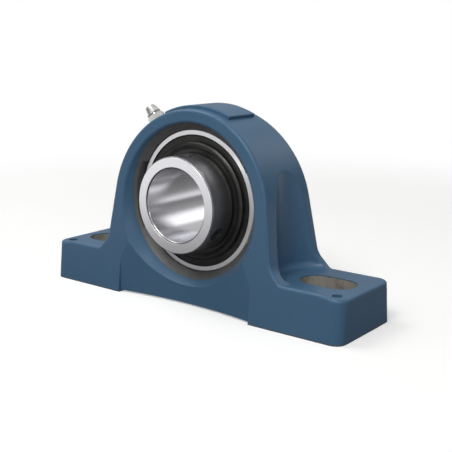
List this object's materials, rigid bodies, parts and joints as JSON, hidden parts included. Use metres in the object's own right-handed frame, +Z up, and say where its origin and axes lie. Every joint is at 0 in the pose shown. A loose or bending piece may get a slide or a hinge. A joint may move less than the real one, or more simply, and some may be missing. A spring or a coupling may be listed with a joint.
{
  "type": "pillow block bearing",
  "caption": "Cast pillow block with slotted feet and an arch that holds a self-aligning, sealed ball bearing with set screws and a grease nipple.",
  "frame": {"origin": "on the base plane, midway between the two bolt slots, under the middle of the bearing", "axes": "+X along the base, +Y along the shaft towards the rear, +Z up from the base"},
  "size_m": [0.152, 0.0422, 0.0821],
  "materials": {
    "housing_paint": "blue enamel on cast iron, machined places bare",
    "nipple_plated_steel": "bright zinc plate",
    "nipple_ball_steel": "polished steel",
    "spring_steel": "drawn spring wire",
    "outer_ring_steel": "ground bearing steel",
    "inner_ring_steel": "ground bearing steel",
    "cage_polymer": "glass-filled polyamide",
    "seal_steel": "dark pressed sheet steel",
    "seal_rubber": "nitrile rubber",
    "flinger_steel": "dark pressed sheet steel",
    "set_screw_steel": "black-oxide alloy steel",
    "ball_steel": "polished bearing steel"
  },
  "bodies": {
    "housing": {"housing": "housing_paint", "grease_nipple_body": "nipple_plated_steel", "grease_nipple_spring": "spring_steel"},
    "bearing_outer": {"outer_ring": "outer_ring_steel", "seal_shell_front": "seal_steel", "seal_shell_rear": "seal_steel", "seal_lip_front": "seal_rubber", "seal_lip_rear": "seal_rubber"},
    "inner": {"inner_ring": "inner_ring_steel", "flinger_front": "flinger_steel", "flinger_rear": "flinger_steel"},
    "cage": {"ball_cage": "cage_polymer"},
    "ball_1": {"ball_1": "ball_steel"},
    "ball_2": {"ball_2": "ball_steel"},
    "ball_3": {"ball_3": "ball_steel"},
    "ball_4": {"ball_4": "ball_steel"},
    "ball_5": {"ball_5": "ball_steel"},
    "ball_6": {"ball_6": "ball_steel"},
    "ball_7": {"ball_7": "ball_steel"},
    "ball_8": {"ball_8": "ball_steel"},
    "ball_9": {"ball_9": "ball_steel"},
    "set_screw_1": {"set_screw_1": "set_screw_steel"},
    "set_screw_2": {"set_screw_2": "set_screw_steel"},
    "nipple_check": {"grease_nipple_ball": "nipple_ball_steel"}
  },
  "joints": [
    {"name": "self_align_tilt", "type": "hinge", "parent": "housing", "child": "bearing_outer", "pos_m": [0, 0, 0.0429], "axis": [1, 0, 0], "range_deg": [-5, 5]},
    {"name": "shaft_spin", "type": "hinge", "parent": "bearing_outer", "child": "inner", "pos_m": [0, 0, 0.0429], "axis": [0, 1, 0], "continuous": true},
    {"name": "cage_spin", "type": "hinge", "parent": "bearing_outer", "child": "cage", "pos_m": [0, 0, 0.0429], "axis": [0, 1, 0], "continuous": true},
    {"name": "ball_1_roll", "type": "hinge", "parent": "cage", "child": "ball_1", "pos_m": [0, 0, 0.0659], "axis": [0, 1, 0], "continuous": true},
    {"name": "ball_2_roll", "type": "hinge", "parent": "cage", "child": "ball_2", "pos_m": [0.01478, 0, 0.06052], "axis": [0, 1, 0], "continuous": true},
    {"name": "ball_3_roll", "type": "hinge", "parent": "cage", "child": "ball_3", "pos_m": [0.02265, 0, 0.04689], "axis": [0, 1, 0], "continuous": true},
    {"name": "ball_4_roll", "type": "hinge", "parent": "cage", "child": "ball_4", "pos_m": [0.01992, 0, 0.0314], "axis": [0, 1, 0], "continuous": true},
    {"name": "ball_5_roll", "type": "hinge", "parent": "cage", "child": "ball_5", "pos_m": [0.00787, 0, 0.02129], "axis": [0, 1, 0], "continuous": true},
    {"name": "ball_6_roll", "type": "hinge", "parent": "cage", "child": "ball_6", "pos_m": [-0.00787, 0, 0.02129], "axis": [0, 1, 0], "continuous": true},
    {"name": "ball_7_roll", "type": "hinge", "parent": "cage", "child": "ball_7", "pos_m": [-0.01992, 0, 0.0314], "axis": [0, 1, 0], "continuous": true},
    {"name": "ball_8_roll", "type": "hinge", "parent": "cage", "child": "ball_8", "pos_m": [-0.02265, 0, 0.04689], "axis": [0, 1, 0], "continuous": true},
    {"name": "ball_9_roll", "type": "hinge", "parent": "cage", "child": "ball_9", "pos_m": [-0.01478, 0, 0.06052], "axis": [0, 1, 0], "continuous": true},
    {"name": "set_screw_1_travel", "type": "slide", "parent": "inner", "child": "set_screw_1", "axis": [-0.848, 0, 0.5299], "range_m": [-0.0025, 0.001]},
    {"name": "set_screw_2_travel", "type": "slide", "parent": "inner", "child": "set_screw_2", "axis": [-0.0349, 0, -0.9994], "range_m": [-0.0025, 0.001]},
    {"name": "nipple_ball_lift", "type": "slide", "parent": "housing", "child": "nipple_check", "axis": [0.6756, 0, -0.7373], "range_m": [0, 0.0008], "stiffness_N_per_m": 100, "springref_m": -0.0005, "deforming": ["grease_nipple_spring"]}
  ],
  "couplings": [
    {"joint": "cage_spin", "follows": "shaft_spin", "ratio": 0.39647},
    {"joint": "ball_1_roll", "follows": "shaft_spin", "ratio": -2.3112},
    {"joint": "ball_2_roll", "follows": "shaft_spin", "ratio": -2.3112},
    {"joint": "ball_3_roll", "follows": "shaft_spin", "ratio": -2.3112},
    {"joint": "ball_4_roll", "follows": "shaft_spin", "ratio": -2.3112},
    {"joint": "ball_5_roll", "follows": "shaft_spin", "ratio": -2.3112},
    {"joint": "ball_6_roll", "follows": "shaft_spin", "ratio": -2.3112},
    {"joint": "ball_7_roll", "follows": "shaft_spin", "ratio": -2.3112},
    {"joint": "ball_8_roll", "follows": "shaft_spin", "ratio": -2.3112},
    {"joint": "ball_9_roll", "follows": "shaft_spin", "ratio": -2.3112}
  ]
}
